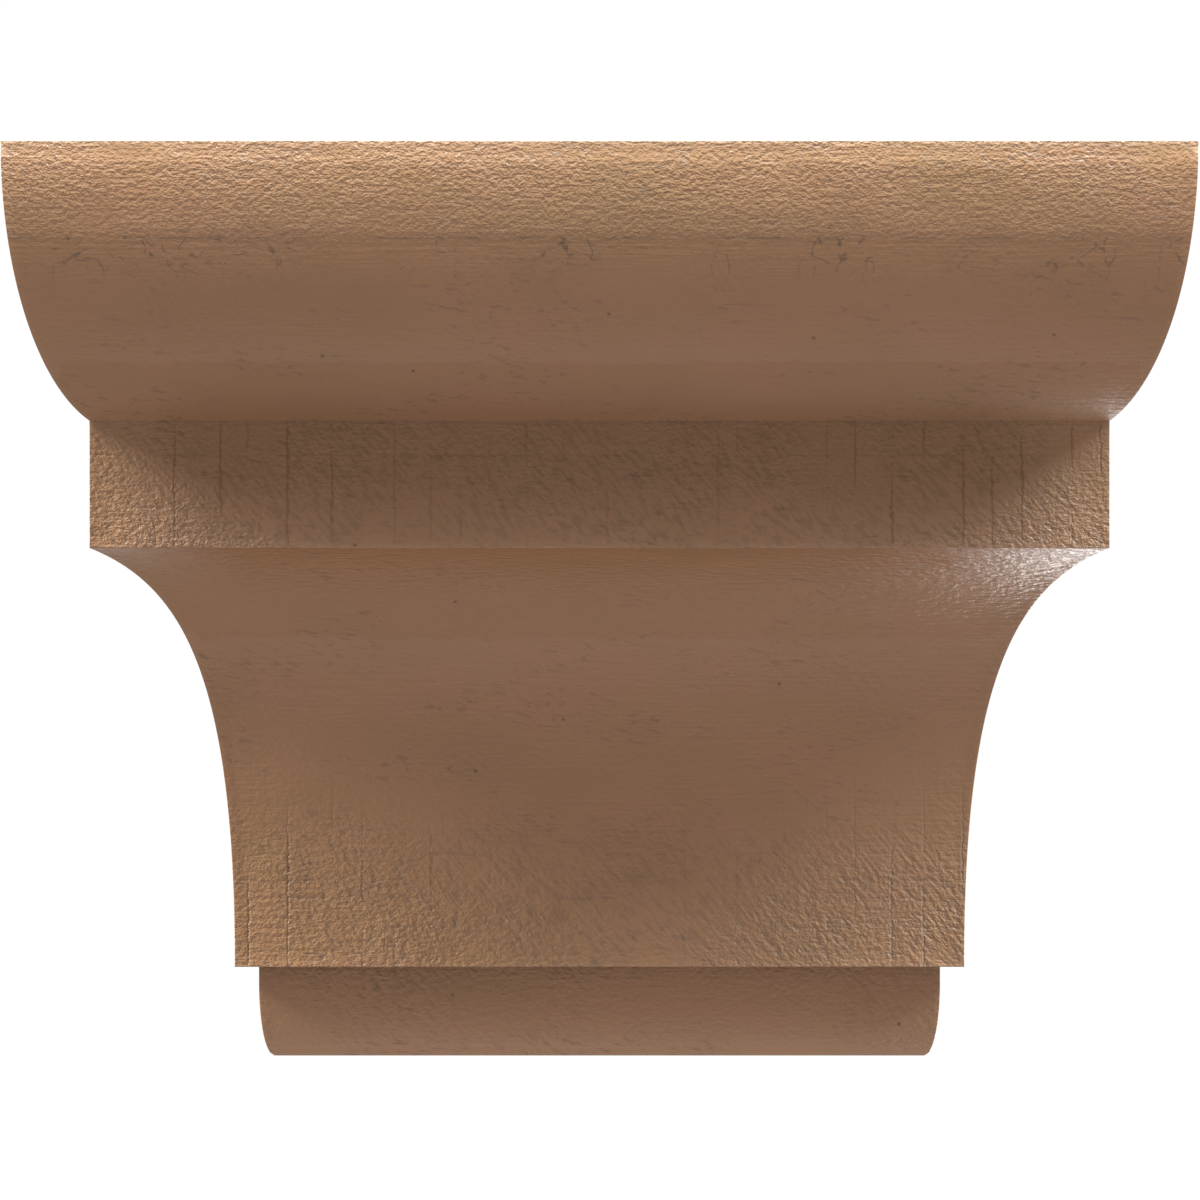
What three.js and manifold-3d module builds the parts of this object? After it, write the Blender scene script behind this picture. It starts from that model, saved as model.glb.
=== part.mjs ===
// A wall corbel cast in one piece: an ovolo crown, a flat band, a deep cove and a
// small rounded foot, mitred round the front and both sides, with a flat back and top.
// Millimetres, +Z up. The wall is the plane y = 0 and the corbel stands out towards -Y.
// The origin is the centre of the back face.

import * as THREE from "three";
import { mergeVertices, toCreasedNormals } from "three/addons/utils/BufferGeometryUtils.js";
import Module from "manifold-3d";

// Overall size of the top edge
const TOP_WIDTH = 355.6;
const TOP_PROJECTION = 177.8;

// Ovolo crown: an elliptical arc that starts plumb at the top edge
const OVOLO_HEIGHT = 83.1;
const OVOLO_SETBACK = 26.2;
const OVOLO_SWEEP = THREE.MathUtils.degToRad(73.6);

// Flat band under the ovolo
const BAND_HEIGHT = 37.8;

// Cove: sweeps in quickly under the band's sharp lip, and ends plumb
const COVE_HEIGHT = 124.8;
const COVE_SETBACK = 42.9;

// How hard the cove's curve is drawn along its two end tangents,
// as shares of the cove's own setback and height
const COVE_LIP_DRAW_IN = 0.621;
const COVE_LIP_DRAW_DOWN = 0.087;
const COVE_PLUMB_DRAW_UP = 0.711;

// Narrow flat underside between the cove and the foot
const SOFFIT_SETBACK = 7.2;

// Foot: a short plumb stretch above a quarter of an ellipse
const FOOT_PLUMB_HEIGHT = 5.6;
const FOOT_ROUND_HEIGHT = 20.9;
const FOOT_ROUND_SETBACK = 4.6;

// Segments in each curved stretch of the profile
const OVOLO_SEGMENTS = 40;
const COVE_SEGMENTS = 48;
const FOOT_SEGMENTS = 16;

// Edges sharper than this are drawn hard
const CREASE_ANGLE = THREE.MathUtils.degToRad(25);

const HEIGHT =
  OVOLO_HEIGHT + BAND_HEIGHT + COVE_HEIGHT + FOOT_PLUMB_HEIGHT + FOOT_ROUND_HEIGHT;

const wasm = await Module();
wasm.setup();

// The moulding's profile from the top edge down. A point's x is the setback from the
// top edge and its y is the height.
function mouldingProfile() {
  const top = HEIGHT / 2;
  const ovoloBottom = top - OVOLO_HEIGHT;
  const bandBottom = ovoloBottom - BAND_HEIGHT;
  const coveBottom = bandBottom - COVE_HEIGHT;
  const plumbBottom = coveBottom - FOOT_PLUMB_HEIGHT;

  const bandSetback = OVOLO_SETBACK;
  const coveSetback = bandSetback + COVE_SETBACK;
  const footSetback = coveSetback + SOFFIT_SETBACK;

  const ovoloAcross = OVOLO_SETBACK / (1 - Math.cos(OVOLO_SWEEP));
  const ovoloDown = OVOLO_HEIGHT / Math.sin(OVOLO_SWEEP);
  const ovolo = new THREE.EllipseCurve(
    ovoloAcross, top, ovoloAcross, ovoloDown, Math.PI, Math.PI + OVOLO_SWEEP,
  );

  const cove = new THREE.CubicBezierCurve(
    new THREE.Vector2(bandSetback, bandBottom),
    new THREE.Vector2(
      bandSetback + COVE_SETBACK * COVE_LIP_DRAW_IN,
      bandBottom - COVE_HEIGHT * COVE_LIP_DRAW_DOWN,
    ),
    new THREE.Vector2(coveSetback, coveBottom + COVE_HEIGHT * COVE_PLUMB_DRAW_UP),
    new THREE.Vector2(coveSetback, coveBottom),
  );

  const footRound = new THREE.EllipseCurve(
    footSetback + FOOT_ROUND_SETBACK, plumbBottom,
    FOOT_ROUND_SETBACK, FOOT_ROUND_HEIGHT, Math.PI, 1.5 * Math.PI,
  );

  return [
    ...ovolo.getPoints(OVOLO_SEGMENTS),
    ...cove.getSpacedPoints(COVE_SEGMENTS),
    new THREE.Vector2(footSetback, coveBottom),
    ...footRound.getPoints(FOOT_SEGMENTS),
  ];
}

// The outline seen from the front: the profile on the right, mirrored on the left.
function frontOutline(profile) {
  const right = profile.map((p) => new THREE.Vector2(TOP_WIDTH / 2 - p.x, p.y));
  const left = right.map((p) => new THREE.Vector2(-p.x, p.y)).reverse();
  return new THREE.Shape([...right, ...left]);
}

// The outline seen from the side, with the distance from the wall along x: the
// profile in front, and the plain straight back in the wall plane.
function sideOutline(profile) {
  const front = profile.map((p) => new THREE.Vector2(TOP_PROJECTION - p.x, p.y));
  const bottomOfBack = new THREE.Vector2(0, front[front.length - 1].y);
  const topOfBack = new THREE.Vector2(0, front[0].y);
  return new THREE.Shape([...front, bottomOfBack, topOfBack]);
}

// A closed geometry as a solid that can be cut.
function toSolid(geometry) {
  const bare = geometry.clone();
  bare.deleteAttribute("normal");
  bare.deleteAttribute("uv");
  const merged = mergeVertices(bare);
  return new wasm.Manifold(
    new wasm.Mesh({
      numProp: 3,
      vertProperties: merged.attributes.position.array,
      triVerts: new Uint32Array(merged.index.array),
    }),
  );
}

// A solid back as a geometry, smooth along its curves and hard at its edges.
function toGeometry(solid) {
  const mesh = solid.getMesh();
  const geometry = new THREE.BufferGeometry();
  geometry.setAttribute("position", new THREE.BufferAttribute(mesh.vertProperties, 3));
  geometry.setIndex(new THREE.BufferAttribute(mesh.triVerts, 1));
  return toCreasedNormals(geometry, CREASE_ANGLE);
}

// The front outline run back through the wall plane, cut by the side outline run
// across it, so that the moulding turns each front corner in a mitre.
function corbelGeometry() {
  const profile = mouldingProfile();

  const frontRunLength = 2 * TOP_PROJECTION;
  const frontRun = new THREE.ExtrudeGeometry(frontOutline(profile), {
    depth: frontRunLength,
    bevelEnabled: false,
  });
  frontRun.rotateX(Math.PI / 2);
  frontRun.translate(0, (frontRunLength - TOP_PROJECTION) / 2, 0);

  const sideRunLength = 2 * TOP_WIDTH;
  const sideRun = new THREE.ExtrudeGeometry(sideOutline(profile), {
    depth: sideRunLength,
    bevelEnabled: false,
  });
  sideRun.rotateX(Math.PI / 2);
  sideRun.rotateZ(-Math.PI / 2);
  sideRun.translate(sideRunLength / 2, 0, 0);

  return toGeometry(toSolid(frontRun).intersect(toSolid(sideRun)));
}

const tanUrethane = new THREE.MeshStandardMaterial({
  color: 0x83624b,
  roughness: 0.5,
  metalness: 0,
});

const corbelBody = new THREE.Mesh(corbelGeometry(), tanUrethane);
corbelBody.name = "corbel_body";

const corbel = new THREE.Group();
corbel.add(corbelBody);

export default corbel;
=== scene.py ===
import math

import bpy
import numpy as np
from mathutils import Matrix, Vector, noise
from mathutils.geometry import delaunay_2d_cdt


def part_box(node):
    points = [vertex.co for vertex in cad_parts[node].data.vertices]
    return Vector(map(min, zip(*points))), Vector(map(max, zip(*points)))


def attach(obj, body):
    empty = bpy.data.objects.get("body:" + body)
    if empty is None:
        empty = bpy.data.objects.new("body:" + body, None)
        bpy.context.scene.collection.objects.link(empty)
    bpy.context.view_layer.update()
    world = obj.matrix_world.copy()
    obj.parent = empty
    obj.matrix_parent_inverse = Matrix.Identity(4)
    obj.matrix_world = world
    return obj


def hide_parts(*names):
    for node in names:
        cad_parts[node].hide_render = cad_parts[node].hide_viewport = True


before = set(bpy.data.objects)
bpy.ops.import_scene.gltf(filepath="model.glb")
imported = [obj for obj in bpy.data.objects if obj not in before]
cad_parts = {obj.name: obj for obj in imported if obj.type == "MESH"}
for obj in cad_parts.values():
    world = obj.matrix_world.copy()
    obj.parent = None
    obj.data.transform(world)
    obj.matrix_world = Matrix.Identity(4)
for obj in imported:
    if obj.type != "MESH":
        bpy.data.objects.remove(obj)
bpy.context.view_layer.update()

# A wall corbel cast in one piece of urethane, with the surface of rough-sawn timber.
# Metres, +Z up, front towards -Y, back against the wall plane y = 0.

node_lo, node_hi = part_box("corbel_body")

MM = 0.001

# Overall size, from the frame
HALF_WIDTH = (node_hi[0] - node_lo[0]) / 2
PROJECTION = node_hi[1] - node_lo[1]
TOP = node_hi[2]
BOTTOM = node_lo[2]

# The moulding's profile, from the top edge down
OVOLO_HEIGHT = 83.1 * MM
OVOLO_SETBACK = 26.2 * MM
OVOLO_SWEEP = math.radians(73.6)
BAND_HEIGHT = 37.8 * MM
COVE_HEIGHT = 124.8 * MM
COVE_SETBACK = 42.9 * MM
COVE_LIP_DRAW_IN = 0.621
COVE_LIP_DRAW_DOWN = 0.087
COVE_PLUMB_DRAW_UP = 0.711
SOFFIT_SETBACK = 7.2 * MM
FOOT_PLUMB_HEIGHT = 5.6 * MM
FOOT_ROUND_HEIGHT = 20.9 * MM
FOOT_ROUND_SETBACK = 4.6 * MM

# How far an outer edge is softened back from its sharp line
EDGE_SOFTNESS = 0.2 * MM
EDGE_STEPS = 4

# The fine surface's spacing
ROW_STEP = 1.7 * MM
COLUMNS = {"left": 104, "front": 216, "right": 104}
CURVE_SAMPLES = 400

# The flat back, top and underside have points this far apart, and none near their borders
CAP_STEP = 8 * MM
CAP_MARGIN = 0.6 * CAP_STEP
CAP_TOLERANCE = 1e-7

# Their texture starts this many metres away from the moulding's, and from each other's
TOP_TEXTURE_SHIFT = 1.0
TEXTURE_SHIFT_PER_ROW = 0.01
BACK_TEXTURE_SHIFT = 4.0

# Edges sharper than this are shaded hard
SHARP_ANGLE = math.radians(30)

# The casting's material slots
SAWN_SLOT = 0
CAST_SLOT = 1

# Relief of the mesh itself, from two layers of the same noise
LUMP_DEPTH = 0.10 * MM
LUMP_SIZE = 9 * MM
LUMP_LAYER = 1.0
SWELL_DEPTH = 0.14 * MM
SWELL_SIZE = 34 * MM
SWELL_LAYER = 5.0

# Relief dies away over this distance from an edge, so that the edges stay straight
RELIEF_FADE = 4 * MM

# Outer edges are scuffed paler over this distance, and the top edge takes a painted highlight over it
EDGE_PALING_REACH = 2.2 * MM

# The uppermost stretch of the ovolo is sandy, and a row of curled cracks lies under it
CRACK_ROW_TOP = 29 * MM
CRACK_ROW_DEPTH = 17 * MM
RIM_STRENGTH = 0.6

# Pits in the front, as millimetres from the midline and down from the top edge
PITS = (
    (2.8, 51.5),
    (63.6, 58.6),
    (134.9, 57.7),
    (-82.3, 63.9),
    (-55.3, 68.4),
    (-10.8, 172.0),
    (53.6, 161.3),
    (-42.9, 136.9),
    (-36.9, 187.4),
    (-43.8, 254.1),
    (-72.6, 120.0),
    (89.2, 262.8),
)
PIT_RADIUS = 0.8 * MM

# Heights of the fine relief that is only in the shading
GRAIN_HEIGHT = 0.80 * MM
RIPPLE_HEIGHT = 0.34 * MM
LINE_HEIGHT = 0.08 * MM
STREAK_HEIGHT = 0.30 * MM
KERF_DEPTH = 0.10 * MM
TEAR_DEPTH = 0.06 * MM

# The shading eases back towards the top edge
TOP_EASE_DEPTH = 0.7 * MM
TOP_EASE_REACH = 8 * MM

# Saw kerfs run down the face and torn marks run across it
KERF_SPACING = 10.5 * MM
KERF_HALF_WIDTH = 0.55 * MM
TEAR_SPACING = 7.5 * MM
TEAR_HALF_WIDTH = 0.7 * MM

# The sandy grain is a fine noise with a coarser one under it
FINE_GRAIN_SHARE = 0.72

# The ripples' turn from plumb and the flecks' turn from level
RIPPLE_TURN = math.radians(-38)
FLECK_TURN = math.radians(10)

# Colours
TAN = (0.122, 0.0580, 0.0268, 1)
TAN_PINK = (0.128, 0.0600, 0.0285, 1)
TAN_OLIVE = (0.116, 0.0570, 0.0250, 1)
PALE = (0.190, 0.110, 0.066, 1)
# The dark of the marks; in kerfs, torn marks, hollows and furrows it stands as painted shade
CREVICE = (0.048, 0.026, 0.014, 1)
# Painted shade, laid under the crown
UNDER_CROWN_SHADE = (0.034, 0.013, 0.005, 1)

# How much of the dark crevice colour each kind of mark takes on. In kerfs, torn marks, the grain's hollows
# and the ripples' furrows it is painted shade.
FLECK_DARK = 0.34
CRACK_DARK = 0.80
KERF_DARK = 0.40
TEAR_DARK = 0.22
PIT_DARK = 0.85
HOLLOW_DARK = 0.12
FURROW_DARK = 0.28
PORE_DARK = 0.6

# How far the painted shade under the crown and the paling of the foot cover the tan, and how pale the top
# edge, with its painted highlight, and the other edges turn
UNDER_CROWN_SHADE_COVER = 0.32
FOOT_PALING_COVER = 0.35
# Along the top edge the paling is mostly a painted highlight
TOP_EDGE_SCUFF_AND_HIGHLIGHT = 0.85
OTHER_EDGES_BARED = 0.14

# Roughness of the sawn surface, and what is added to it where it varies
SAWN_ROUGHNESS = 0.25
UNEVEN_ROUGHNESS = 0.14
DARK_ROUGHNESS = 0.4
KERF_ROUGHNESS = 0.5
# Rougher where the painted shade under the crown lies
UNDER_CROWN_ROUGHNESS = 0.35
SAWN_SPECULAR = 0.32

# The cast finish of the flat faces
PORE_DEPTH = 0.16 * MM
SCRAPE_HEIGHT = 0.09 * MM
CAST_GRAIN_HEIGHT = 0.03 * MM
CAST_ROUGHNESS_LOW = 0.84
CAST_ROUGHNESS_HIGH = 0.94
CAST_SPECULAR = 0.12


def smoothstep(x, low, high):
    t = np.clip((x - low) / (high - low), 0.0, 1.0)
    return t * t * (3 - 2 * t)


def bend(t, start, tip, end):
    """The place at a share t of a curve from start to end that leans on a tip."""
    return (1 - t) ** 2 * start + 2 * t * (1 - t) * tip + t * t * end


# The profile


def ovolo_run():
    across = OVOLO_SETBACK / (1 - math.cos(OVOLO_SWEEP))
    down = OVOLO_HEIGHT / math.sin(OVOLO_SWEEP)
    t = np.linspace(0, OVOLO_SWEEP, CURVE_SAMPLES)
    return np.column_stack((across * (1 - np.cos(t)), TOP - down * np.sin(t)))


def band_run():
    top = TOP - OVOLO_HEIGHT
    return np.array(((OVOLO_SETBACK, top), (OVOLO_SETBACK, top - BAND_HEIGHT)))


def cove_run():
    top = TOP - OVOLO_HEIGHT - BAND_HEIGHT
    bottom = top - COVE_HEIGHT
    inner = OVOLO_SETBACK + COVE_SETBACK
    start = np.array((OVOLO_SETBACK, top))
    lip = start + np.array((COVE_SETBACK * COVE_LIP_DRAW_IN, -COVE_HEIGHT * COVE_LIP_DRAW_DOWN))
    plumb = np.array((inner, bottom + COVE_HEIGHT * COVE_PLUMB_DRAW_UP))
    end = np.array((inner, bottom))
    t = np.linspace(0, 1, CURVE_SAMPLES)[:, None]
    return (1 - t) ** 3 * start + 3 * (1 - t) ** 2 * t * lip + 3 * (1 - t) * t * t * plumb + t**3 * end


def soffit_run():
    height = TOP - OVOLO_HEIGHT - BAND_HEIGHT - COVE_HEIGHT
    inner = OVOLO_SETBACK + COVE_SETBACK
    return np.array(((inner, height), (inner + SOFFIT_SETBACK, height)))


def foot_run():
    setback = OVOLO_SETBACK + COVE_SETBACK + SOFFIT_SETBACK
    plumb_bottom = BOTTOM + FOOT_ROUND_HEIGHT
    t = np.linspace(0, math.pi / 2, CURVE_SAMPLES)
    across = setback + FOOT_ROUND_SETBACK * (1 - np.cos(t))
    down = plumb_bottom - FOOT_ROUND_HEIGHT * np.sin(t)
    return np.vstack(((setback, plumb_bottom + FOOT_PLUMB_HEIGHT), np.column_stack((across, down))))


def top_run():
    """The last bit of the flat top before the front edge, so that the edge can be softened."""
    return np.array(((2 * EDGE_SOFTNESS, TOP), (0.0, TOP)))


def run_length(run):
    return np.concatenate(((0.0,), np.cumsum(np.hypot(*np.diff(run, axis=0).T))))


def spaced(start, end, step):
    return np.linspace(start, end, max(2, round((end - start) / step)) + 1)


class Rows:
    """The rows of the moulding's surface, from the flat top down to the flat underside."""

    def __init__(self):
        self.points = []
        self.outward = []
        self.travel = []
        self.edge_distance = []
        self.outer_distance = []
        runs = (
            ("top", top_run(), 0.0, EDGE_SOFTNESS),
            ("ovolo", ovolo_run(), EDGE_SOFTNESS, 0.0),
            ("band", band_run(), 0.0, EDGE_SOFTNESS),
            ("cove", cove_run(), EDGE_SOFTNESS, EDGE_SOFTNESS),
            ("soffit", soffit_run(), EDGE_SOFTNESS, 0.0),
            ("foot", foot_run(), 0.0, 0.0),
        )
        self.start = {}
        travelled = -2 * EDGE_SOFTNESS
        corner = None
        for name, run, trim_start, trim_end in runs:
            length = run_length(run)
            total = length[-1]
            self.start[name] = travelled
            if corner is not None and trim_start > 0:
                self.soften(corner, self.at(run, length, trim_start), travelled)
            places = spaced(trim_start, total - trim_end, ROW_STEP)
            if name == "top":
                places = places[-1:]
            skip = 1 if self.points and trim_start == 0 else 0
            for place in places[skip:]:
                self.points.append(self.at(run, length, place))
                self.outward.append(self.normal(run, length, place))
                self.travel.append(travelled + place)
                self.edge_distance.append(min(place, total - place))
                from_above = place if name in ("ovolo", "cove", "soffit") else total
                from_below = total - place if name in ("top", "band", "cove") else total
                self.outer_distance.append(min(from_above, from_below))
            corner = run[-1] if trim_end > 0 else None
            travelled += total
        self.points = np.array(self.points)
        self.outward = np.array(self.outward)
        self.travel = np.array(self.travel)
        self.edge_distance = np.array(self.edge_distance)
        self.outer_distance = np.array(self.outer_distance)

    @staticmethod
    def at(run, length, place):
        return np.array((np.interp(place, length, run[:, 0]), np.interp(place, length, run[:, 1])))

    def normal(self, run, length, place):
        """Outward, as (towards the setback, up)."""
        reach = 0.05 * MM
        ahead = self.at(run, length, min(place + reach, length[-1]))
        behind = self.at(run, length, max(place - reach, 0.0))
        along = (ahead - behind) / np.linalg.norm(ahead - behind)
        return np.array((along[1], -along[0]))

    def soften(self, corner, after, travelled):
        """Rows that turn a sharp outer edge between the last row and the next."""
        before = self.points[-1]
        for i in range(1, EDGE_STEPS):
            self.points.append(bend(i / EDGE_STEPS, before, corner, after))
            self.outward.append(self.outward[-1])
            self.travel.append(travelled)
            self.edge_distance.append(0.0)
            self.outer_distance.append(0.0)


# The surface


def patch(u, v, size, layer):
    """Smooth noise from 0 to 1."""
    waves = np.array([noise.noise(Vector((a / size, b / size, layer))) for a, b in zip(u, v)])
    return 0.5 + 0.5 * waves


def face_plan(face, half, reach):
    """One face's stretch of a row, seen from above: where its points lie, how far along the
    texture, how far from the face's nearest edge and front corner, and where the face looks."""
    spread = np.linspace(-1, 1, COLUMNS[face] + 1)
    if face == "front":
        x = spread * (half - EDGE_SOFTNESS)
        gap = half - np.abs(x)
        return x, np.full_like(x, -reach), x, gap, gap, (0.0, -1.0)
    side = -1.0 if face == "left" else 1.0
    along = (1 - side * spread) / 2
    y = -along * (reach - EDGE_SOFTNESS)
    x = np.full_like(y, side * half)
    u = side * (HALF_WIDTH + PROJECTION + y)
    return x, y, u, np.minimum(reach + y, -y), reach + y, (side, 0.0)


def corner_plan(side, half, reach):
    """The same for a softened front corner. The left one's side is -1 and the right one's 1."""
    on_front = np.array((side * (half - EDGE_SOFTNESS), -reach))
    on_side = np.array((side * half, -(reach - EDGE_SOFTNESS)))
    tip = np.array((side * half, -reach))
    start, end = (on_side, on_front) if side < 0 else (on_front, on_side)
    x, y = np.array([bend(i / EDGE_STEPS, start, tip, end) for i in range(1, EDGE_STEPS)]).T
    gap = np.zeros_like(x)
    return x, y, gap + side * half, gap, gap, (0.0, -1.0)


def row_plan(half, reach):
    """The same for a whole row, from the left back edge round to the right one."""
    stretches = (
        face_plan("left", half, reach),
        corner_plan(-1, half, reach),
        face_plan("front", half, reach),
        corner_plan(1, half, reach),
        face_plan("right", half, reach),
    )
    *plans, normals = zip(*stretches)
    counts = [len(xs) for xs in plans[0]]
    return *(np.concatenate(plan) for plan in plans), np.repeat(normals, counts, axis=0)


def moulding_grid(rows):
    """The moulding's points row by row, with each point's place on its face and how near it
    lies to an outer edge."""
    points, places, edge_nearness = [], [], []
    for i, (setback, height) in enumerate(rows.points):
        x, y, u, edge_gap, corner_gap, normal = row_plan(HALF_WIDTH - setback, PROJECTION - setback)
        v = np.full_like(u, -rows.travel[i])
        row_fade = smoothstep(rows.edge_distance[i], 0.0, RELIEF_FADE)
        fade = smoothstep(edge_gap, 0.0, RELIEF_FADE) * row_fade
        lumps = LUMP_DEPTH * patch(u, v, LUMP_SIZE, LUMP_LAYER)
        swell = SWELL_DEPTH * patch(u, v, SWELL_SIZE, SWELL_LAYER)
        sunk = fade * (lumps + swell)
        out, up = -rows.outward[i][0], rows.outward[i][1]
        x = x - sunk * out * normal[:, 0]
        y = y - sunk * out * normal[:, 1]
        points.append(np.column_stack((x, y, height - sunk * up)))
        places.append(np.column_stack((u, v)))
        outer = np.minimum(corner_gap, rows.outer_distance[i])
        edge_nearness.append(1 - smoothstep(outer, 0.0, EDGE_PALING_REACH))
    return np.array(points), np.array(places), np.array(edge_nearness)


def flat_cap(border, inside, step):
    """Triangles that fill a closed border in a plane, with an even spread of points inside it.
    The result is the added points and the triangles, which count the border's points first."""
    lo = np.min(border, axis=0)
    hi = np.max(border, axis=0)
    added = []
    for a in np.arange(lo[0] + step / 2, hi[0], step):
        for b in np.arange(lo[1] + step / 2, hi[1], step):
            if inside(a, b):
                added.append((a, b))
    every = [Vector(p) for p in list(map(tuple, border)) + added]
    loop = list(range(len(border)))
    triangles_inside = 1
    _, _, faces, origin, _, _ = delaunay_2d_cdt(every, [], [loop], triangles_inside, CAP_TOLERANCE)
    source = [o[0] for o in origin]
    return added, [[source[i] for i in f] for f in faces]


def half_width_at(rows, height):
    order = np.argsort(rows.points[:, 1])
    return HALF_WIDTH - np.interp(height, rows.points[order, 1], rows.points[order, 0])


class Shell:
    """The casting's points and faces as they are gathered, with how near each point lies to an outer edge,
    each face corner's place in the texture and each face's material slot."""

    def __init__(self, grid, edge_nearness):
        self.verts = [tuple(p) for p in grid.reshape(-1, 3)]
        self.edge_nearness_values = list(edge_nearness.reshape(-1))
        self.faces = []
        self.uvs = []
        self.slots = []

    def add_points(self, points):
        """Adds points that lie away from the outer edges, and gives their numbers."""
        first = len(self.verts)
        self.verts.extend(points)
        self.edge_nearness_values.extend([0.0] * len(points))
        return list(range(first, first + len(points)))

    def add_cap(self, border, flat, inside, solid, place, flip):
        """Fills a flat border. flat lays a point down in the plane and solid lifts it back,
        inside tells where the plane gets points of its own, and place is for the texture."""
        outline = np.array([flat(self.verts[i]) for i in border])
        added, triangles = flat_cap(outline, inside, CAP_STEP)
        index = border + self.add_points([solid(*p) for p in added])
        for t in triangles:
            loop = [index[i] for i in t]
            a, b, c = (flat(self.verts[i]) for i in loop)
            turn = (b[0] - a[0]) * (c[1] - a[1]) - (b[1] - a[1]) * (c[0] - a[0])
            if (turn > 0) == flip:
                loop.reverse()
            self.faces.append(tuple(loop))
            self.uvs.extend(place(self.verts[i]) for i in loop)
            self.slots.append(CAST_SLOT)


def add_moulding(shell, grid, places):
    """The front and the sides, as one sheet that turns the front corners."""
    n_rows, n_cols = grid.shape[:2]
    left_end = COLUMNS["left"] + EDGE_STEPS // 2
    right_start = left_end + COLUMNS["front"] + EDGE_STEPS
    for r in range(n_rows - 1):
        for c in range(n_cols - 1):
            a = r * n_cols + c
            shell.faces.append((a, a + n_cols, a + n_cols + 1, a + 1))
            shell.slots.append(SAWN_SLOT)
            for row, column in ((r, c), (r + 1, c), (r + 1, c + 1), (r, c + 1)):
                x, y, _ = grid[row, column]
                if left_end <= c < right_start:
                    u = x
                else:
                    side = -1.0 if c < left_end else 1.0
                    u = side * (HALF_WIDTH + PROJECTION + y)
                shell.uvs.append((u, places[row, column, 1]))


def add_flat_faces(shell, rows, grid):
    """The flat top and underside, and the flat back that closes the casting."""
    n_rows, n_cols = grid.shape[:2]

    def back_edge(row):
        right = grid[row, -1]
        count = round(2 * right[0] / CAP_STEP)
        xs = np.linspace(right[0], -right[0], count + 1)[1:-1]
        return shell.add_points([(x, 0.0, right[2]) for x in xs])

    top_back = back_edge(0)
    bottom_back = back_edge(n_rows - 1)
    for row, back, flip in ((0, top_back, False), (n_rows - 1, bottom_back, True)):
        half = grid[row, -1][0]
        reach = -min(grid[row][:, 1])
        z = grid[row, 0][2]
        shift = TOP_TEXTURE_SHIFT + row * TEXTURE_SHIFT_PER_ROW
        shell.add_cap(
            list(range(row * n_cols, (row + 1) * n_cols)) + back,
            flat=lambda p: (p[0], p[1]),
            inside=lambda a, b: abs(a) < half - CAP_MARGIN and CAP_MARGIN - reach < b < -CAP_MARGIN,
            solid=lambda a, b: (a, b, z),
            place=lambda p: (p[0], p[1] + shift),
            flip=flip,
        )

    def inside_back(a, b):
        return abs(a) < half_width_at(rows, b) - CAP_MARGIN and BOTTOM + CAP_MARGIN < b < TOP - CAP_MARGIN

    left = [r * n_cols for r in range(n_rows)]
    right = [r * n_cols + n_cols - 1 for r in range(n_rows)]
    shell.add_cap(
        left + bottom_back[::-1] + right[::-1] + top_back,
        flat=lambda p: (p[0], p[2]),
        inside=inside_back,
        solid=lambda a, b: (a, 0.0, b),
        place=lambda p: (p[0], p[2] + BACK_TEXTURE_SHIFT),
        flip=True,
    )


def casting_mesh(rows):
    grid, places, edge_nearness = moulding_grid(rows)
    shell = Shell(grid, edge_nearness)
    add_moulding(shell, grid, places)
    add_flat_faces(shell, rows, grid)
    mesh = bpy.data.meshes.new("corbel_casting")
    mesh.from_pydata(shell.verts, [], shell.faces)
    layer = mesh.uv_layers.new(name="surface_metres")
    layer.data.foreach_set("uv", np.array(shell.uvs, dtype=np.float32).ravel())
    mesh.polygons.foreach_set("material_index", np.array(shell.slots, dtype=np.int32))
    attribute = mesh.attributes.new("edge_nearness", "FLOAT", "POINT")
    attribute.data.foreach_set("value", np.array(shell.edge_nearness_values, dtype=np.float32))
    mesh.validate()
    mesh.shade_smooth()
    mesh.set_sharp_from_angle(angle=SHARP_ANGLE)
    return mesh


# Materials


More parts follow.
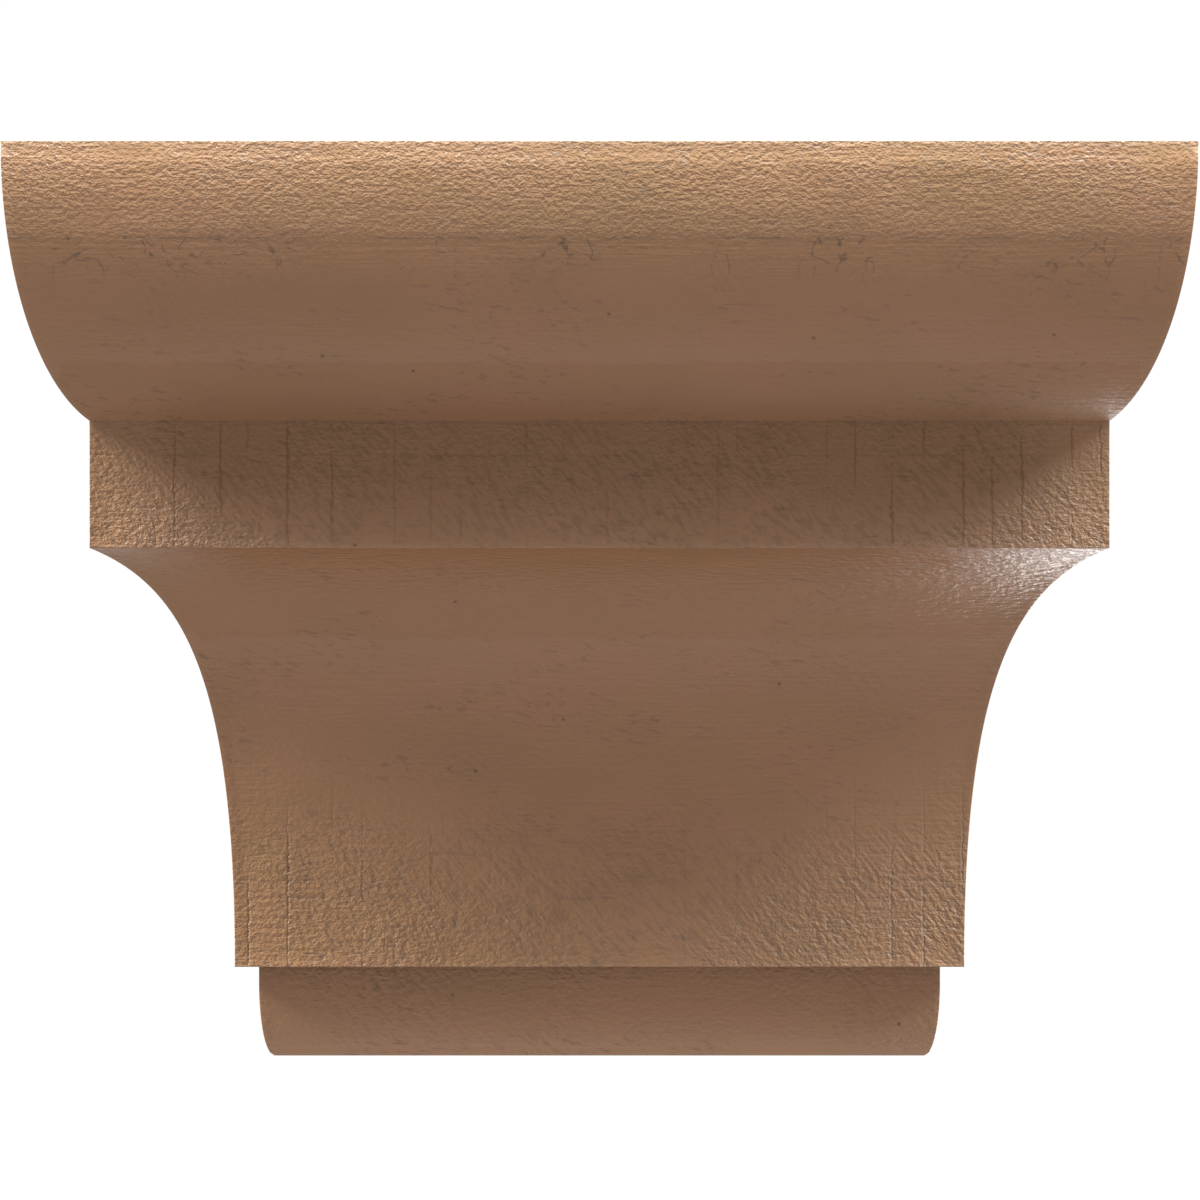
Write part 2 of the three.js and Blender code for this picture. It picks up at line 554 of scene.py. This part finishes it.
class Nodes:
    """Short calls for the nodes of one material."""

    def __init__(self, name):
        self.material = bpy.data.materials.new(name)
        self.material.use_nodes = True
        self.tree = self.material.node_tree
        self.shader = self.tree.nodes["Principled BSDF"]

    def node(self, kind, inputs=None, **settings):
        made = self.tree.nodes.new(kind)
        for key, value in settings.items():
            setattr(made, key, value)
        for key, value in (inputs or {}).items():
            self.plug(made.inputs[key], value)
        return made

    def plug(self, socket, value):
        if isinstance(value, bpy.types.NodeSocket):
            self.tree.links.new(value, socket)
        else:
            socket.default_value = value

    def math(self, operation, a, b=0.0):
        return self.node("ShaderNodeMath", {0: a, 1: b}, operation=operation).outputs[0]

    def step(self, value, low, high, out_low=0.0, out_high=1.0):
        """Goes smoothly from out_low to out_high while the value goes from low to high."""
        ends = {"From Min": low, "From Max": high, "To Min": out_low, "To Max": out_high}
        return self.node(
            "ShaderNodeMapRange", {"Value": value, **ends}, interpolation_type="SMOOTHSTEP"
        ).outputs["Result"]

    def place(self, scale=(1, 1, 1), turn=0.0, shift=(0, 0, 0)):
        """The surface's own metres, turned first, then scaled and shifted."""
        vector = self.node("ShaderNodeUVMap", uv_map="surface_metres").outputs[0]
        if turn:
            turned = self.node("ShaderNodeMapping", {"Vector": vector, "Rotation": (0, 0, turn)})
            vector = turned.outputs[0]
        placed = self.node("ShaderNodeMapping", {"Vector": vector, "Location": shift, "Scale": scale})
        return placed.outputs[0]

    def noise(self, vector, scale, detail=2.0, roughness=0.5, distortion=0.0):
        return self.node(
            "ShaderNodeTexNoise",
            {
                "Vector": vector,
                "Scale": scale,
                "Detail": detail,
                "Roughness": roughness,
                "Distortion": distortion,
            },
            noise_dimensions="2D",
        ).outputs["Fac"]

    def mix(self, factor, a, b):
        factor_in, first_color_in, second_color_in, color_out = 0, 6, 7, 2
        made = self.node("ShaderNodeMix", data_type="RGBA", blend_type="MIX")
        self.plug(made.inputs[factor_in], factor)
        self.plug(made.inputs[first_color_in], a)
        self.plug(made.inputs[second_color_in], b)
        return made.outputs[color_out]

    def warped(self, vector, by, reach):
        """The same places, moved by up to half of reach by a noise."""
        moved = self.node("ShaderNodeVectorMath", {0: by, 3: reach}, operation="SCALE").outputs[0]
        return self.node("ShaderNodeVectorMath", {0: vector, 1: moved}, operation="ADD").outputs[0]

    def ramp(self, value, stops):
        """Straight lines through (place, height) stops, both from 0 to 1."""
        made = self.node("ShaderNodeValToRGB", {"Fac": value})
        elements = made.color_ramp.elements
        elements[0].position = stops[0][0]
        elements[1].position = stops[-1][0]
        for place, height in stops[1:-1]:
            elements.new(place)
        for element, (place, height) in zip(elements, stops):
            element.color = (height, height, height, 1)
        return made.outputs["Color"]

    def product(self, *values):
        result = values[0]
        for value in values[1:]:
            result = self.math("MULTIPLY", result, value)
        return result

    def scaled(self, amount, *values):
        """The product of values, times a plain number."""
        return self.math("MULTIPLY", self.product(*values), amount)

    def total(self, *values):
        result = values[0]
        for value in values[1:]:
            result = self.math("ADD", result, value)
        return result

    def relief(self, height):
        """Shades the surface as if it stood up by a height in metres."""
        bump = self.node("ShaderNodeBump", {"Height": height, "Distance": 1.0, "Strength": 1.0})
        self.plug(self.shader.inputs["Normal"], bump.outputs[0])


def pit_distance(n, rows):
    """Distance from the nearest of the front's pits."""
    uv = n.node("ShaderNodeUVMap", uv_map="surface_metres").outputs[0]
    order = np.argsort(-rows.points[:, 1])
    nearest = 1.0
    for across, down in PITS:
        travel = np.interp(down * MM, TOP - rows.points[order, 1], rows.travel[order])
        pit = (across * MM, -travel, 0)
        distance = n.node("ShaderNodeVectorMath", {0: uv, 1: pit}, operation="DISTANCE")
        nearest = n.math("MINIMUM", distance.outputs["Value"], nearest)
    return nearest


def by_travel(n, rows, down, *stops):
    """A share that changes evenly between (distance from the top edge, share) stops."""
    end = rows.travel[-1]
    return n.ramp(n.math("DIVIDE", down, end), [(place / end, share) for place, share in stops])


def rough_share(n, rows, down):
    """How rough each stretch of the moulding is, from 0 to 1. The crown's upper part is sandy
    and the rest of it nearly smooth; the band is torn; the cove is rough near its foot."""
    band, cove, soffit, foot = (rows.start[name] for name in ("band", "cove", "soffit", "foot"))
    return by_travel(
        n,
        rows,
        down,
        (0.0, 1.0),
        (CRACK_ROW_TOP - 2 * MM, 0.85),
        (CRACK_ROW_TOP + 2 * MM, 0.22),
        (band - 2 * MM, 0.2),
        (band + 1 * MM, 0.75),
        (cove - 1 * MM, 0.95),
        (cove + 1 * MM, 0.22),
        (cove + 26 * MM, 0.20),
        (cove + 44 * MM, 0.22),
        (soffit - 50 * MM, 0.22),
        (soffit - 30 * MM, 0.7),
        (soffit - 8 * MM, 0.95),
        (foot, 0.6),
        (rows.travel[-1], 0.45),
    )


def streaked_share(n, rows, down):
    """Short streaks run along the steep upper stretch of the cove."""
    cove = rows.start["cove"]
    return by_travel(
        n, rows, down, (cove - 0.5 * MM, 0.0), (cove, 1.0), (cove + 26 * MM, 1.0), (cove + 44 * MM, 0.0)
    )


def scored_share(n, rows, down):
    """How clearly the saw kerfs show: on the band, near the cove's foot, and faintly on the foot."""
    band, cove, soffit, foot = (rows.start[name] for name in ("band", "cove", "soffit", "foot"))
    return by_travel(
        n,
        rows,
        down,
        (band - 1 * MM, 0.0),
        (band + 3 * MM, 0.9),
        (cove - 1 * MM, 1.0),
        (cove, 0.0),
        (soffit - 60 * MM, 0.0),
        (soffit - 36 * MM, 0.9),
        (soffit - 2 * MM, 1.0),
        (foot, 0.5),
        (rows.travel[-1] - 9 * MM, 0.0),
    )


def under_crown_shade_share(n, rows, across, down):
    """Painted shade under the crown, which thins out down the band as far as its lip. It is weaker towards
    the ends of the front and on the sides, where the side lamps light the band."""
    band, cove = rows.start["band"], rows.start["cove"]
    return n.product(
        n.step(down, band - 30 * MM, band + 1 * MM),
        n.step(down, band, cove, 1.0, 0.75),
        n.step(down, cove - 0.3 * MM, cove + 0.3 * MM, 1.0, 0.0),
        n.step(n.math("ABSOLUTE", across), 112 * MM, 148 * MM, 1.0, 0.3),
    )


def curled_cracks(n, down, wander):
    """A row of fine dark curled cracks under the sandy part of the crown, in loose clusters,
    with a thin broken rim along its top."""
    warped = n.warped(n.place(scale=(1, 0.8, 1), shift=(5, 2, 0)), wander, 9 * MM)
    edge = n.node(
        "ShaderNodeTexVoronoi",
        {"Vector": warped, "Scale": 135},
        voronoi_dimensions="2D",
        feature="DISTANCE_TO_EDGE",
    ).outputs["Distance"]
    line = n.step(edge, 0.015, 0.065, 1.0, 0.0)
    gaps = n.noise(n.place(shift=(8, 8, 0)), scale=240, detail=1, roughness=0.6)
    clusters = n.noise(n.place(scale=(1, 0.4, 1), shift=(9, 4, 0)), scale=42, detail=1, roughness=0.6)
    start = n.step(down, CRACK_ROW_TOP - 1.5 * MM, CRACK_ROW_TOP + 0.5 * MM)
    end = n.step(down, CRACK_ROW_TOP + 2 * MM, CRACK_ROW_TOP + CRACK_ROW_DEPTH, 1.0, 0.0)
    curls = n.product(line, n.step(gaps, 0.43, 0.53), n.step(clusters, 0.42, 0.54), start, end)

    rim_gaps = n.noise(n.place(scale=(1, 0.01, 1), shift=(3, 9, 0)), scale=30, detail=2, roughness=0.6)
    from_rim = n.math("ABSOLUTE", n.math("ADD", down, -CRACK_ROW_TOP))
    rim = n.step(from_rim, 0.1 * MM, 0.45 * MM, 1.0, 0.0)
    return n.math("MAXIMUM", curls, n.scaled(RIM_STRENGTH, rim, n.step(rim_gaps, 0.46, 0.56)))


def scored_lines(n, along, spacing, half_width, stray, broken):
    """Thin lines at uneven spaces, 1 in their middle, that stray a little and are broken."""
    nearest = n.node(
        "ShaderNodeTexVoronoi",
        {"W": n.math("ADD", along, stray), "Scale": 1 / spacing, "Randomness": 0.6},
        voronoi_dimensions="1D",
    ).outputs["Distance"]
    line = n.step(nearest, 0.0, half_width / spacing, 1.0, 0.0)
    return n.math("MULTIPLY", line, broken)


def grain_noise(n):
    fine = n.noise(n.place(scale=(0.85, 1.1, 1)), scale=680, detail=2, roughness=0.6)
    coarse = n.noise(n.place(scale=(0.8, 1, 1), shift=(3, 6, 0)), scale=270, detail=1, roughness=0.5)
    return n.total(n.scaled(FINE_GRAIN_SHARE, fine), n.scaled(1 - FINE_GRAIN_SHARE, coarse))


def ripple_patches(n, down):
    """Where the slanting ripples show. They are faint on the sandy part of the crown."""
    patches = n.noise(n.place(shift=(4, 4, 0)), scale=22, detail=1, roughness=0.5)
    under_crown = n.step(down, CRACK_ROW_TOP, CRACK_ROW_TOP + 4 * MM, 0.3, 1.0)
    return n.product(n.step(patches, 0.40, 0.56), under_crown)


def saw_kerfs(n, spot):
    """Kerfs run down the face and show best towards the ends of the front."""
    gaps = n.noise(n.place(scale=(2.6, 0.8, 1), shift=(7, 3, 0)), scale=36, detail=1, roughness=0.5)
    broken = n.step(gaps, 0.42, 0.60)
    lines = scored_lines(n, spot.across, KERF_SPACING, KERF_HALF_WIDTH, spot.stray, broken)
    # Towards the ends, which the side lamps rake, the kerfs are deeper and darker with painted shade
    toward_ends = n.step(n.math("ABSOLUTE", spot.across), 45 * MM, 100 * MM, 0.35, 1.0)
    return n.product(lines, spot.scored, toward_ends)


def torn_marks(n, spot):
    """Torn marks run across the face, and show faintly on the sandy part of the crown too."""
    gaps = n.noise(n.place(scale=(0.7, 2.4, 1), shift=(2, 5, 0)), scale=90, detail=1, roughness=0.5)
    broken = n.step(gaps, 0.50, 0.68)
    lines = scored_lines(n, spot.down, TEAR_SPACING, TEAR_HALF_WIDTH, spot.stray, broken)
    sandy = n.step(spot.down, CRACK_ROW_TOP - 4 * MM, CRACK_ROW_TOP, 0.4, 0.0)
    return n.math("MULTIPLY", lines, n.math("ADD", spot.scored, sandy))


class Spot:
    """What the sawn surface's relief, colour and roughness share at each point: how far across
    and down it lies, how worn and rough it is, and the marks that cross it."""

    def __init__(self, n, rows):
        place = n.node("ShaderNodeSeparateXYZ", {0: n.place()})
        self.rows = rows
        self.across = place.outputs["X"]
        self.down = n.math("MULTIPLY", place.outputs["Y"], -1.0)
        # How near an outer edge each point lies; it carries scuffing, and the top edge's painted highlight
        self.edge_nearness = n.node("ShaderNodeAttribute", attribute_name="edge_nearness").outputs["Fac"]
        self.rough = rough_share(n, rows, self.down)
        self.scored = scored_share(n, rows, self.down)
        # The painted shade under the crown
        self.under_crown_shade = under_crown_shade_share(n, rows, self.across, self.down)
        wander = n.node(
            "ShaderNodeTexNoise",
            {"Vector": n.place(shift=(6, 8, 0)), "Scale": 130, "Detail": 1, "Roughness": 0.5},
            noise_dimensions="2D",
        )
        self.grain = grain_noise(n)
        self.stray = n.total(
            n.scaled(0.8 * MM, wander.outputs["Fac"]), n.scaled(1.6 * MM, self.grain)
        )
        ripple_place = n.place(scale=(620, 170, 1), turn=RIPPLE_TURN)
        self.ripples = n.noise(ripple_place, scale=1.0, detail=1, roughness=0.5)
        self.ripple_patch = ripple_patches(n, self.down)
        self.kerf = saw_kerfs(n, self)
        self.tear = torn_marks(n, self)
        self.crack = curled_cracks(n, self.down, wander.outputs["Color"])
        fleck_place = n.place(scale=(210, 760, 1), turn=FLECK_TURN)
        self.flecks = n.noise(fleck_place, scale=1.0, detail=2, roughness=0.6, distortion=0.5)
        self.dark = dark_marks(n, self)


def dark_marks(n, spot):
    """How much of the dark crevice colour all the marks together take on. In the kerfs, torn marks, grain
    hollows and ripple furrows it is painted shade.
    """
    patches = n.noise(n.place(scale=(0.6, 1.6, 1), shift=(3, 1, 0)), scale=34, detail=2, roughness=0.6)
    fleck = n.math("MULTIPLY", n.step(spot.flecks, 0.58, 0.68), n.step(patches, 0.44, 0.62))
    pit = n.step(pit_distance(n, spot.rows), 0.25 * PIT_RADIUS, PIT_RADIUS, 1.0, 0.0)
    # The grain's hollows and the ripples' furrows are darkened with painted shade
    hollow = n.step(spot.grain, 0.38, 0.50, 1.0, 0.0)
    furrow = n.math("MULTIPLY", n.step(spot.ripples, 0.36, 0.52, 1.0, 0.0), spot.ripple_patch)
    return n.total(
        n.scaled(FLECK_DARK, fleck),
        n.scaled(CRACK_DARK, spot.crack),
        n.scaled(KERF_DARK, spot.kerf),
        n.scaled(TEAR_DARK, spot.tear),
        n.scaled(PIT_DARK, pit),
        n.scaled(HOLLOW_DARK, hollow, spot.rough),
        n.scaled(FURROW_DARK, furrow, spot.rough),
    )


def sawn_height(n, spot):
    patches = n.noise(n.place(), scale=26, detail=1, roughness=0.5)
    grain_patch = n.step(patches, 0.34, 0.56, 0.6, 1.0)
    lines = n.noise(n.place(scale=(45, 900, 1)), scale=1.0, detail=1, roughness=0.6)
    streak_place = n.place(scale=(230, 860, 1), shift=(1, 8, 0))
    streaks = n.noise(streak_place, scale=1.0, detail=1.5, roughness=0.6)
    return n.total(
        n.scaled(GRAIN_HEIGHT, spot.grain, grain_patch, spot.rough),
        n.scaled(RIPPLE_HEIGHT, spot.ripples, spot.ripple_patch, spot.rough),
        n.scaled(LINE_HEIGHT, lines),
        n.scaled(STREAK_HEIGHT, streaks, streaked_share(n, spot.rows, spot.down)),
        n.scaled(-KERF_DEPTH, spot.kerf),
        n.scaled(-TEAR_DEPTH, spot.tear),
        n.step(spot.down, 0.0, TOP_EASE_REACH, -TOP_EASE_DEPTH, 0.0),
    )


def sawn_color(n, spot):
    """Patchy tan, with painted shade under the crown, edges scuffed pale with a painted highlight along
    the top edge, and paler towards the bottom of the foot.
    """
    tone = n.noise(n.place(scale=(1, 1.6, 1), shift=(2, 7, 0)), scale=16, detail=2, roughness=0.55)
    streak = n.noise(n.place(scale=(26, 420, 1)), scale=1.0, detail=2, roughness=0.6)
    color = n.mix(n.step(tone, 0.3, 0.7), TAN_PINK, TAN_OLIVE)
    color = n.mix(n.step(streak, 0.35, 0.7, 0.0, 0.5), color, TAN)
    # Painted shade under the crown and down the band, weaker towards the lit ends
    color = n.mix(n.scaled(UNDER_CROWN_SHADE_COVER, spot.under_crown_shade), color, UNDER_CROWN_SHADE)
    # The top edge takes a painted highlight as well as scuffing; the other edges are only scuffed paler
    scuff_and_highlight_share = n.step(spot.down, 3 * MM, 6 * MM, TOP_EDGE_SCUFF_AND_HIGHLIGHT, OTHER_EDGES_BARED)
    edge_paling = n.product(spot.edge_nearness, scuff_and_highlight_share, n.step(spot.flecks, 0.30, 0.55, 0.5, 1.0))
    color = n.mix(edge_paling, color, PALE)
    # Paler towards the bottom of the foot
    foot, end = spot.rows.start["foot"], spot.rows.travel[-1]
    color = n.mix(n.step(spot.down, foot + 8 * MM, end, 0.0, FOOT_PALING_COVER), color, PALE)
    # The marks' dark, which is painted shade in kerfs, torn marks, hollows and furrows
    return n.mix(n.math("MINIMUM", spot.dark, 1.0), color, CREVICE)


def sawn_roughness(n, spot):
    uneven = n.noise(n.place(shift=(1, 1, 0)), scale=60, detail=2, roughness=0.6)
    return n.total(
        n.scaled(UNEVEN_ROUGHNESS, uneven),
        n.scaled(DARK_ROUGHNESS, spot.dark),
        n.scaled(KERF_ROUGHNESS, spot.kerf),
        n.scaled(UNDER_CROWN_ROUGHNESS, spot.under_crown_shade),
        SAWN_ROUGHNESS,
    )


def sawn_material(rows):
    """Tan urethane with the sandy, scored and torn surface of rough-sawn timber."""
    n = Nodes("rough_sawn_urethane")
    spot = Spot(n, rows)
    n.relief(sawn_height(n, spot))
    n.plug(n.shader.inputs["Base Color"], sawn_color(n, spot))
    n.plug(n.shader.inputs["Roughness"], sawn_roughness(n, spot))
    n.shader.inputs["Specular IOR Level"].default_value = SAWN_SPECULAR
    return n.material


def cast_material():
    """The plain finish of the flat back, top and underside, with fine pores and scrapes."""
    n = Nodes("cast_back_urethane")
    tone = n.noise(n.place(), scale=24, detail=4, roughness=0.6)
    pores = n.noise(n.place(shift=(3, 3, 0)), scale=420, detail=2, roughness=0.5)
    pore = n.step(pores, 0.68, 0.78)
    scrapes = n.noise(n.place(scale=(12, 240, 1)), scale=1.0, detail=3, roughness=0.55)
    grain = n.noise(n.place(), scale=900, detail=2, roughness=0.6)
    height = n.total(
        n.scaled(-PORE_DEPTH, pore),
        n.scaled(SCRAPE_HEIGHT, scrapes),
        n.scaled(CAST_GRAIN_HEIGHT, grain),
    )
    n.relief(height)
    color = n.mix(n.step(tone, 0.3, 0.7), TAN, TAN_PINK)
    color = n.mix(n.scaled(PORE_DARK, pore), color, CREVICE)
    n.plug(n.shader.inputs["Base Color"], color)
    n.plug(n.shader.inputs["Roughness"], n.step(tone, 0.3, 0.7, CAST_ROUGHNESS_LOW, CAST_ROUGHNESS_HIGH))
    n.shader.inputs["Specular IOR Level"].default_value = CAST_SPECULAR
    return n.material


def build_casting(rows):
    piece = bpy.data.objects.new("corbel_casting", casting_mesh(rows))
    bpy.context.scene.collection.objects.link(piece)
    piece.data.materials.append(sawn_material(rows))
    piece.data.materials.append(cast_material())
    weighted = piece.modifiers.new("area_weighted_normals", "WEIGHTED_NORMAL")
    weighted.mode = "FACE_AREA"
    weighted.keep_sharp = True
    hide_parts("corbel_body")
    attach(piece, "root")
    return piece


# Studio

FLOOR_DROP = 2.8
FLOOR_REACH = 7.0
WORLD_STRENGTH = 1.02

FLOOR_TONE = (0.92, 0.92, 0.92, 1)
FLOOR_ROUGHNESS = 0.9
LAMP_DISTANCE = 3.0

# The three high lamps rake the front from close to its own plane, so the flat top and the
# sides would burn out. A net hangs in front of each and lets a share of that light through.
TOP_NET_SHARE = 0.15
SIDE_NET_SHARE = 0.33
NET_GAP = 2 * MM


def build_world():
    world = bpy.data.worlds.new("white_studio")
    bpy.context.scene.world = world
    world.use_nodes = True
    background = world.node_tree.nodes["Background"]
    background.inputs["Color"].default_value = (1, 1, 1, 1)
    background.inputs["Strength"].default_value = WORLD_STRENGTH
    world.cycles.sampling_method = "NONE"


def build_floor():
    z = BOTTOM - FLOOR_DROP
    r = FLOOR_REACH
    mesh = bpy.data.meshes.new("studio_floor")
    mesh.from_pydata([(-r, -r, z), (r, -r, z), (r, r, z), (-r, r, z)], [], [(0, 1, 2, 3)])
    floor = bpy.data.objects.new("studio_floor", mesh)
    bpy.context.scene.collection.objects.link(floor)
    n = Nodes("white_floor")
    n.shader.inputs["Base Color"].default_value = FLOOR_TONE
    n.shader.inputs["Roughness"].default_value = FLOOR_ROUGHNESS
    mesh.materials.append(n.material)
    floor.visible_glossy = False


def build_net(name, share, rows_of_points):
    """A see-through net of straight bands between rows of points, which only the lamps'
    shadows know of."""
    mesh = bpy.data.meshes.new(name)
    verts = [point for row in rows_of_points for point in row]
    faces = [(i, i + 1, i + 3, i + 2) for i in range(0, len(verts) - 2, 2)]
    mesh.from_pydata(verts, [], faces)
    n = Nodes(name)
    n.tree.nodes.remove(n.shader)
    veil = n.node("ShaderNodeBsdfTransparent", {"Color": (share, share, share, 1)})
    n.plug(n.tree.nodes["Material Output"].inputs["Surface"], veil.outputs[0])
    mesh.materials.append(n.material)
    net = bpy.data.objects.new(name, mesh)
    net.visible_camera = False
    net.visible_diffuse = False
    net.visible_glossy = False
    net.visible_transmission = False
    net.visible_volume_scatter = False
    bpy.context.scene.collection.objects.link(net)
    return net


def build_nets(rows):
    z = TOP + NET_GAP
    top = [((x, -PROJECTION, z), (x, 0, z)) for x in (-HALF_WIDTH, HALF_WIDTH)]
    nets = [build_net("top_net", TOP_NET_SHARE, top)]
    for name, side in (("left_net", -1), ("right_net", 1)):
        bands = []
        for setback, height in rows.points:
            x = side * (HALF_WIDTH - setback + NET_GAP)
            bands.append(((x, -(PROJECTION - setback), height), (x, 0, height)))
        nets.append(build_net(name, SIDE_NET_SHARE, bands))
    return nets


def group(name, *objects):
    made = bpy.data.collections.new(name)
    for item in objects:
        made.objects.link(item)
    return made


def add_lamp(
    name,
    lit,
    blockers,
    *,
    elevation,
    width,
    height,
    watts,
    azimuth=0.0,
    across=0.0,
    distance=LAMP_DISTANCE,
    color=(1.0, 1.0, 1.0),
    matt=True,
    glossy=True,
):
    """A lamp that faces the front's plane, this far across to the right of its middle. It stands
    off that point by an azimuth, from straight ahead towards the right, and an elevation, both
    in degrees. It can leave matt or glossy surfaces alone."""
    data = bpy.data.lights.new(name, "AREA")
    data.shape = "RECTANGLE"
    data.size = width
    data.size_y = height
    data.energy = watts
    data.color = color
    a = math.radians(azimuth)
    e = math.radians(elevation)
    toward = Vector((math.sin(a) * math.cos(e), -math.cos(a) * math.cos(e), math.sin(e)))
    lamp = bpy.data.objects.new(name, data)
    lamp.location = Vector((across, node_lo[1], 0)) + toward * distance
    lamp.rotation_euler = toward.to_track_quat("Z", "Y").to_euler()
    lamp.visible_camera = False
    lamp.visible_diffuse = matt
    lamp.visible_glossy = glossy
    lamp.light_linking.receiver_collection = lit
    lamp.light_linking.blocker_collection = blockers
    bpy.context.scene.collection.objects.link(lamp)


def build_lamps(piece, nets):
    """The lamps light the corbel alone, as if flags kept them off the floor."""
    lit = group("lit_by_lamps", piece)
    netted = group("shades_the_high_lamps", piece, *nets)
    cool = (0.70, 0.90, 1.0)
    add_lamp("overhead", lit, netted, elevation=82, width=1.6, height=0.5, watts=450, color=cool)
    greenish = (0.90, 1.0, 1.0)
    add_lamp(
        "left", lit, netted, azimuth=-82.5, elevation=46, width=0.5, height=2.0, watts=1330, color=greenish
    )
    bluish = (0.66, 0.87, 1.0)
    add_lamp(
        "right", lit, netted, azimuth=82, elevation=48, width=0.5, height=1.8, watts=1420, color=bluish
    )
    add_lamp("low", lit, lit, elevation=-54, width=4.0, height=1.8, watts=88, glossy=False)
    # The pale patch under the right end of the band is this small close lamp's reflection
    add_lamp(
        "glare",
        lit,
        lit,
        across=0.191,
        azimuth=183,
        elevation=-61.6,
        distance=0.227,
        width=0.08,
        height=0.20,
        watts=1.15,
        matt=False,
    )


# Camera: level and square on, from far enough away to look flat. The corbel's place in
# the photograph, which is 1200 pixels wide and high, sets its framing.
PHOTO_PX = 1200
CORBEL_WIDTH_PX = 1198.4
CORBEL_MIDDLE_PX = (599.5, 599.1)
CAMERA_DISTANCE = 16.5


def build_camera():
    px = 2 * HALF_WIDTH / CORBEL_WIDTH_PX
    data = bpy.data.cameras.new("camera")
    data.lens = data.sensor_width * CAMERA_DISTANCE / (PHOTO_PX * px)
    data.clip_end = 100
    camera = bpy.data.objects.new("camera", data)
    camera.location = (
        (PHOTO_PX / 2 - CORBEL_MIDDLE_PX[0]) * px,
        node_lo[1] - CAMERA_DISTANCE,
        (TOP + BOTTOM) / 2 + (CORBEL_MIDDLE_PX[1] - PHOTO_PX / 2) * px,
    )
    camera.rotation_euler = (math.pi / 2, 0, 0)
    bpy.context.scene.collection.objects.link(camera)
    bpy.context.scene.camera = camera


moulding_rows = Rows()
casting = build_casting(moulding_rows)
build_world()
build_floor()
build_lamps(casting, build_nets(moulding_rows))
build_camera()
bpy.context.scene.view_settings.view_transform = "Standard"
